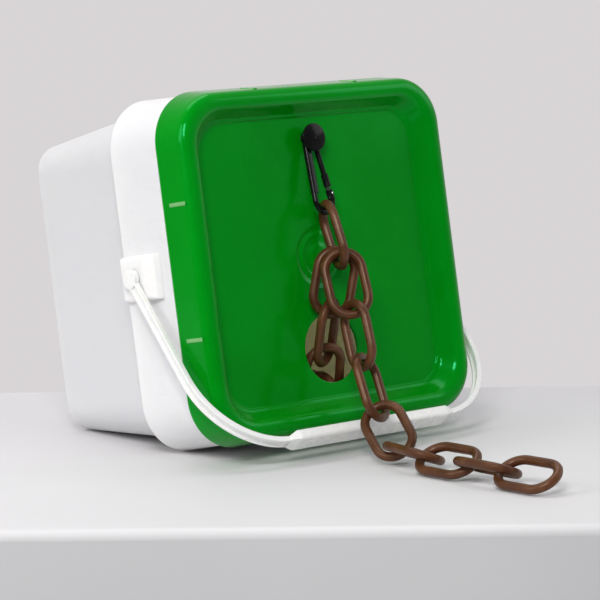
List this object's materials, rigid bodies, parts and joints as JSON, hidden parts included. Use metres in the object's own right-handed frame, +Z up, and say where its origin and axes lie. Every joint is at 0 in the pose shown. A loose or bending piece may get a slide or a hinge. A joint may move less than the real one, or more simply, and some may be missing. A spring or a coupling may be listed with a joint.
{
  "type": "chain storage pail",
  "caption": "Square plastic pail on its side with a green snap lid, bail handle and knob with a snap hook; plastic chain runs out of the lid's hole and hangs from the hook.",
  "frame": {"origin": "on the floor under the middle of the whole object's bounding box", "axes": "+Z up, +Y from the lid side towards the pail's base, +X to the right seen from the lid side"},
  "size_m": [0.325, 0.5392, 0.3081],
  "materials": {
    "pail_white": "satin translucent polyethylene",
    "bail_white": "gloss",
    "lid_green": "gloss",
    "chain_brown": "satin gloss",
    "hook_black": "gloss",
    "knob_black": "gloss",
    "zinc_steel": "zinc plated",
    "spring_steel": "drawn wire"
  },
  "bodies": {
    "pail": {"pail_body": "pail_white", "stored_chain": "chain_brown"},
    "lid": {"lid": "lid_green", "hanger_knob": "knob_black", "knob_screw": "zinc_steel", "knob_washer": "zinc_steel"},
    "bail": {"bail_handle": "bail_white"},
    "hook": {"snap_hook_frame": "hook_black", "gate_pin": "spring_steel"},
    "gate": {"snap_hook_gate": "hook_black", "gate_spring": "spring_steel"},
    "outer_1": {"outer_link_1": "chain_brown"},
    "outer_2": {"outer_link_2": "chain_brown"},
    "outer_3": {"outer_link_3": "chain_brown"},
    "outer_4": {"outer_link_4": "chain_brown"},
    "outer_5": {"outer_link_5": "chain_brown"},
    "outer_6": {"outer_link_6": "chain_brown"},
    "outer_7": {"outer_link_7": "chain_brown"},
    "outer_8": {"outer_link_8": "chain_brown"},
    "outer_9": {"outer_link_9": "chain_brown"},
    "inner_1": {"inner_link_1": "chain_brown"},
    "inner_2": {"inner_link_2": "chain_brown"},
    "inner_3": {"inner_link_3": "chain_brown"}
  },
  "joints": [
    {"name": "lid_unsnap", "type": "slide", "parent": "pail", "child": "lid", "axis": [0, -0.9848, 0.1737], "range_m": [0, 0.005]},
    {"name": "bail_swing", "type": "hinge", "parent": "pail", "child": "bail", "pos_m": [0, 0.09113, 0.15109], "axis": [1, 0, 0], "range_deg": [0, 60]},
    {"name": "hook_swing", "type": "hinge", "parent": "lid", "child": "hook", "pos_m": [0, 0.04564, 0.26167], "axis": [0, -0.9848, 0.1737], "range_deg": [-0.3, 0.5]},
    {"name": "gate_swing", "type": "hinge", "parent": "hook", "child": "gate", "pos_m": [0.00906, 0.02979, 0.21455], "axis": [0.1392, -0.9254, 0.3526], "range_deg": [0, 7], "stiffness_Nm_per_rad": 0.03, "springref_deg": -2.86},
    {"name": "outer_link_1_swing", "type": "hinge", "parent": "hook", "child": "outer_1", "pos_m": [-0.00114, 0.02267, 0.19988], "axis": [-0.9901, -0.1237, 0.066], "range_deg": [0, 0.5]},
    {"name": "outer_link_2_swing", "type": "hinge", "parent": "outer_1", "child": "outer_2", "pos_m": [-0.00232, 0.00556, 0.16742], "axis": [-0.8375, 0.5214, -0.1633], "range_deg": [0, 8]},
    {"name": "outer_link_3_swing", "type": "hinge", "parent": "outer_2", "child": "outer_3", "pos_m": [-0.0052, -0.01501, 0.11649], "axis": [-0.8375, 0.5214, -0.1633], "range_deg": [0, 12]},
    {"name": "outer_link_4_swing", "type": "hinge", "parent": "outer_3", "child": "outer_4", "pos_m": [-0.0086, -0.02918, 0.08214], "axis": [-0.9237, -0.2885, 0.2523], "range_deg": [0, 12]},
    {"name": "outer_link_5_swing", "type": "hinge", "parent": "outer_4", "child": "outer_5", "pos_m": [-0.0134, -0.05574, 0.03422], "axis": [-0.9237, -0.2885, 0.2523], "range_deg": [0, 15]},
    {"name": "outer_link_6_swing", "type": "hinge", "parent": "outer_5", "child": "outer_6", "pos_m": [-0.02129, -0.08189, 0.01294], "axis": [-0.9305, 0.1308, 0.342], "range_deg": [0, 20]},
    {"name": "outer_link_7_swing", "type": "hinge", "parent": "outer_6", "child": "outer_7", "pos_m": [-0.02894, -0.13635, 0.01294], "axis": [-0.9305, 0.1308, 0.342], "range_deg": [0, 20]},
    {"name": "outer_link_8_swing", "type": "hinge", "parent": "outer_7", "child": "outer_8", "pos_m": [-0.02617, -0.16761, 0.01294], "axis": [-0.9384, -0.0492, 0.342], "range_deg": [0, 20]},
    {"name": "outer_link_9_swing", "type": "hinge", "parent": "outer_8", "child": "outer_9", "pos_m": [-0.02329, -0.22253, 0.01294], "axis": [-0.9384, -0.0492, 0.342], "range_deg": [0, 25]},
    {"name": "inner_link_1_swing", "type": "hinge", "parent": "outer_1", "child": "inner_1", "pos_m": [0.00318, 0.01195, 0.16794], "axis": [-0.8448, 0.4924, 0.2093], "range_deg": [-0.3, 0.3]},
    {"name": "inner_link_2_swing", "type": "hinge", "parent": "inner_1", "child": "inner_2", "pos_m": [-0.00996, 0.00899, 0.12508], "axis": [-0.8898, -0.4292, -0.1551], "range_deg": [-0.5, 0.3]},
    {"name": "inner_link_3_swing", "type": "hinge", "parent": "inner_2", "child": "inner_3", "pos_m": [-0.00889, 0.01827, 0.08492], "axis": [0.9531, -0.2807, 0.1134], "range_deg": [-0.3, 1.5]}
  ]
}
